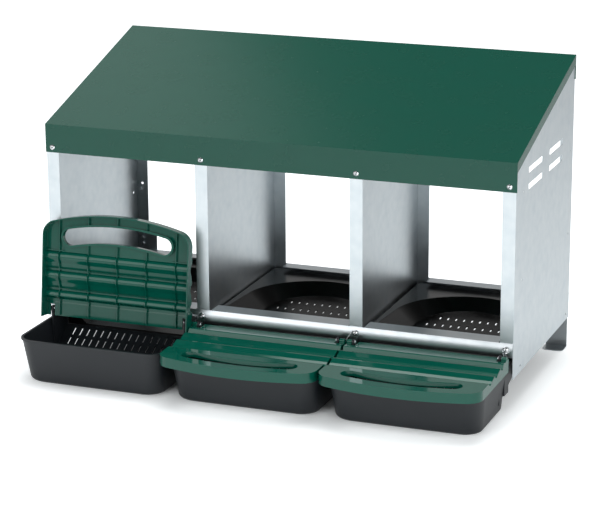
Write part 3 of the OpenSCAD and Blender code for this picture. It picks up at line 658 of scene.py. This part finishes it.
# Height of a head and radius of a shank as in the CAD, and a nut's bore against that radius
HEAD_HEIGHT = 3.2 * MM
SHANK_RADIUS = 2.5 * MM
BORE_SHARE = 1.04


class NESTBOX_OT_screws(bpy.types.Operator):
    """Build the cross-recess screws"""

    bl_idname = "nestbox.screws"
    bl_label = "Screws"

    def execute(self, context):
        sizes = context.scene.nest_box_sizes
        tree = screw_tree()
        for node_name in FRONT_SCREWS + REAR_SCREWS:
            front = node_name in FRONT_SCREWS
            boxes = loose_boxes(node_name)
            seats = []
            for low, high in boxes:
                middle = (low + high) / 2
                middle.y = low.y + HEAD_HEIGHT if front else high.y - HEAD_HEIGHT
                seats.append(middle)
            low, high = boxes[0]
            given = {
                "Head Radius": (high.x - low.x) / 2,
                "Head Height": HEAD_HEIGHT,
                "Head Edge": sizes.head_edge,
                "Shank Radius": SHANK_RADIUS,
                "Shank Length": high.y - low.y - HEAD_HEIGHT,
                "Recess Width": sizes.recess_width,
                "Recess Reach": sizes.recess_reach,
                "Recess Depth": sizes.recess_depth,
            }
            repeat_on(node_name, tree, seats, given, FACING_FRONT if front else FACING_BACK)
        return {"FINISHED"}


class NESTBOX_OT_nuts(bpy.types.Operator):
    """Build the hexagon nuts"""

    bl_idname = "nestbox.nuts"
    bl_label = "Nuts"

    def execute(self, context):
        tree = nut_tree()
        for node_name in SLOTS:
            if node_name.endswith("_nuts"):
                boxes = loose_boxes(node_name)
                low, high = boxes[0]
                given = {
                    "Corner Radius": (high.x - low.x) / 2,
                    "Height": high.y - low.y,
                    "Bore Radius": SHANK_RADIUS * BORE_SHARE,
                }
                repeat_on(node_name, tree, [(a + b) / 2 for a, b in boxes], given, FACING_FRONT)
        return {"FINISHED"}


class NESTBOX_OT_pins_and_wires(bpy.types.Operator):
    """Finish the hinge pins and the wire clips"""

    bl_idname = "nestbox.pins_and_wires"
    bl_label = "Hinge Pins and Wire Clips"

    def execute(self, context):
        sizes = context.scene.nest_box_sizes
        for bay in BAYS:
            dress(f"{bay}_hinge_pins", sizes.sheet_edge)
        dress("tray_clips", sizes.wire_edge)
        return {"FINISHED"}


# Half the floor's side, in metres
FLOOR_HALF = 14.0
# The floor's glow far from the box, how far inside the box's outline it starts, and the way it takes to grow
# The weak glow near and under the box paints a soft shade round it, over the real shadow of the lamps
FLOOR_GLOW = 1.0
GLOW_INSET = 0.13
GLOW_REACH = 0.25
# Shares of that glow that bright surfaces mirror in front of the box and behind it, and where each holds
FRONT_SHARE = 0.85
BACK_SHARE = 0.34
MIRROR_FRONT = -0.7
MIRROR_BACK = 0.2
# Strength of the studio's walls low down and of its ceiling, and the rises between which the light fades
WALL_LIGHT = 0.85
CEILING_LIGHT = 0.06
WALL_FADE = (0.1, 0.6)
# Softboxes: name, place, side and power, in metres and watts
SOFTBOXES = (
    ("key_softbox", (-1.6, -3.4, 2.0), 2.4, 42),
    ("fill_softbox", (3.2, -2.4, 1.4), 2.0, 45),
    ("top_softbox", (0.2, 0.1, 3.4), 2.2, 75),
    ("back_softbox", (-2.4, 2.2, 3.1), 2.0, 10),
)


def pale_floor(colours):
    """Matt pale floor that glows to the eye away from the box, so it reads as white; the glow fades out near
    and under the box, which paints a soft shade round it over the real shadow the lamps cast.
    """
    material, tree = new_material("matt_studio_floor")
    ray = add_node(tree, "ShaderNodeLightPath")
    place = add_node(tree, "ShaderNodeTexCoord").outputs["Object"]
    across = add_node(tree, "ShaderNodeSeparateXYZ", {0: place})
    share = add_node(
        tree,
        "ShaderNodeMapRange",
        {
            "Value": across.outputs["Y"],
            "From Min": MIRROR_FRONT,
            "From Max": MIRROR_BACK,
            "To Min": FRONT_SHARE,
            "To Max": BACK_SHARE,
        },
    )
    mirrored = add_node(
        tree, "ShaderNodeMath", {0: ray.outputs["Is Glossy Ray"], 1: share.outputs[0]}, operation="MULTIPLY"
    )
    seen = add_node(
        tree, "ShaderNodeMath", {0: ray.outputs["Is Camera Ray"], 1: mirrored.outputs[0]}, operation="MAXIMUM"
    )
    through = ray.outputs["Is Transmission Ray"]
    shown = add_node(tree, "ShaderNodeMath", {0: seen.outputs[0], 1: through}, operation="MAXIMUM")
    # The glow grows with the distance from the box's outline, so near and under the box the floor is darker:
    # a painted shade
    middle = (CAD_BOX[0] + CAD_BOX[1]) / 2
    half = (CAD_BOX[1] - CAD_BOX[0]) / 2 - Vector((GLOW_INSET, GLOW_INSET, 0))
    centre = (middle.x, middle.y, 0)
    outline = (half.x, half.y, 0)
    offset = add_node(tree, "ShaderNodeVectorMath", {0: place, 1: centre}, operation="SUBTRACT")
    spread = add_node(tree, "ShaderNodeVectorMath", {0: offset.outputs[0]}, operation="ABSOLUTE")
    beyond = add_node(tree, "ShaderNodeVectorMath", {0: spread.outputs[0], 1: outline}, operation="SUBTRACT")
    clear = add_node(tree, "ShaderNodeVectorMath", {0: beyond.outputs[0], 1: (0, 0, 0)}, operation="MAXIMUM")
    reach = add_node(tree, "ShaderNodeVectorMath", {0: clear.outputs[0]}, operation="LENGTH")
    glow_past_painted_shade = add_node(
        tree,
        "ShaderNodeMapRange",
        {"Value": reach.outputs["Value"], "From Max": GLOW_REACH, "To Max": FLOOR_GLOW},
    )
    glow = add_node(tree, "ShaderNodeMath", {0: shown.outputs[0], 1: glow_past_painted_shade.outputs[0]}, operation="MULTIPLY")
    light = add_node(tree, "ShaderNodeEmission", {"Color": rgba(colours.floor), "Strength": glow.outputs[0]})
    matt = add_node(tree, "ShaderNodeBsdfDiffuse", {"Color": rgba(colours.floor)})
    both = add_node(tree, "ShaderNodeAddShader", {0: matt.outputs[0], 1: light.outputs[0]})
    add_node(tree, "ShaderNodeOutputMaterial", {"Surface": both.outputs[0]})
    return material


class NESTBOX_OT_stage(bpy.types.Operator):
    """Set the floor, the studio light and the camera"""

    bl_idname = "nestbox.stage"
    bl_label = "Stage"

    def execute(self, context):
        scene = context.scene
        scene.view_settings.view_transform = "Standard"
        target = (CAD_BOX[0] + CAD_BOX[1]) / 2
        mesh = bpy.data.meshes.new("studio_floor")
        corners = [(-FLOOR_HALF, -FLOOR_HALF, 0), (FLOOR_HALF, -FLOOR_HALF, 0),
                   (FLOOR_HALF, FLOOR_HALF, 0), (-FLOOR_HALF, FLOOR_HALF, 0)]
        mesh.from_pydata(corners, [], [(0, 1, 2, 3)])
        mesh.materials.append(pale_floor(scene.nest_box_colours))
        ground = bpy.data.objects.new("studio_floor", mesh)
        scene.collection.objects.link(ground)
        for name, place, side, power in SOFTBOXES:
            lamp = bpy.data.lights.new(name, "AREA")
            lamp.shape = "SQUARE"
            lamp.size = side
            lamp.energy = power
            softbox = bpy.data.objects.new(name, lamp)
            softbox.location = place
            softbox.rotation_euler = (target - Vector(place)).to_track_quat("-Z", "Y").to_euler()
            scene.collection.objects.link(softbox)
        world = bpy.data.worlds.new("studio_air")
        world.use_nodes = True
        air = world.node_tree
        air.nodes.clear()
        way = add_node(air, "ShaderNodeTexCoord")
        height = add_node(air, "ShaderNodeSeparateXYZ", {0: way.outputs["Generated"]})
        fall = add_node(
            air,
            "ShaderNodeMapRange",
            {
                "Value": height.outputs["Z"],
                "From Min": WALL_FADE[0],
                "From Max": WALL_FADE[1],
                "To Min": WALL_LIGHT,
                "To Max": CEILING_LIGHT,
            },
        )
        ray = add_node(air, "ShaderNodeLightPath")
        seen = add_node(
            air, "ShaderNodeMath", {0: ray.outputs["Is Camera Ray"], 1: fall.outputs[0]}, operation="MAXIMUM"
        )
        glow = add_node(air, "ShaderNodeBackground", {"Color": (1, 1, 1, 1), "Strength": seen.outputs[0]})
        add_node(air, "ShaderNodeOutputWorld", {"Surface": glow.outputs[0]})
        scene.world = world
        self.place_camera(scene)
        return {"FINISHED"}

    @staticmethod
    def place_camera(scene):
        """Sets the camera at the photograph's place, angle and field of view."""
        data = bpy.data.cameras.new("photo_camera")
        data.sensor_fit = "HORIZONTAL"
        data.lens = data.sensor_width * FOCAL_PIXELS / PHOTO_WIDTH
        turn = (
            Matrix.Rotation(CAMERA_AZIMUTH, 4, "Z")
            @ Matrix.Rotation(math.pi / 2 - CAMERA_ELEVATION, 4, "X")
            @ Matrix.Rotation(-CAMERA_ROLL, 4, "Z")
        )
        camera = bpy.data.objects.new("photo_camera", data)
        camera.matrix_world = Matrix.Translation(CAMERA_PLACE) @ turn
        scene.collection.objects.link(camera)
        scene.camera = camera


class NESTBOX_PT_sidebar(bpy.types.Panel):
    """Lists the steps that build the nest box"""

    bl_idname = "NESTBOX_PT_sidebar"
    bl_label = "Roll Out Nest Box"
    bl_space_type = "VIEW_3D"
    bl_region_type = "UI"
    bl_category = "Nest Box"

    def draw(self, context):
        for group in (context.scene.nest_box_sizes, context.scene.nest_box_colours):
            for name in group.__annotations__:
                self.layout.prop(group, name)
        for step in STEPS:
            self.layout.operator(step.bl_idname)


STEPS = (
    NESTBOX_OT_stage,
    NESTBOX_OT_sheet_metal,
    NESTBOX_OT_roof,
    NESTBOX_OT_lids,
    NESTBOX_OT_egg_trays,
    NESTBOX_OT_nest_trays,
    NESTBOX_OT_screws,
    NESTBOX_OT_nuts,
    NESTBOX_OT_pins_and_wires,
)
CLASSES = (NestBoxSizes, NestBoxColours, *STEPS, NESTBOX_PT_sidebar)


def register():
    """Registers the classes and hangs the settings on the scene."""
    for item in CLASSES:
        bpy.utils.register_class(item)
    bpy.types.Scene.nest_box_sizes = PointerProperty(type=NestBoxSizes)
    bpy.types.Scene.nest_box_colours = PointerProperty(type=NestBoxColours)


def unregister():
    """Takes everything back."""
    del bpy.types.Scene.nest_box_colours
    del bpy.types.Scene.nest_box_sizes
    for item in reversed(CLASSES):
        bpy.utils.unregister_class(item)


def main():
    """Builds the scene step by step."""
    register()
    for step in STEPS:
        group, name = step.bl_idname.split(".")
        getattr(getattr(bpy.ops, group), name)()


if __name__ == "__main__":
    main()
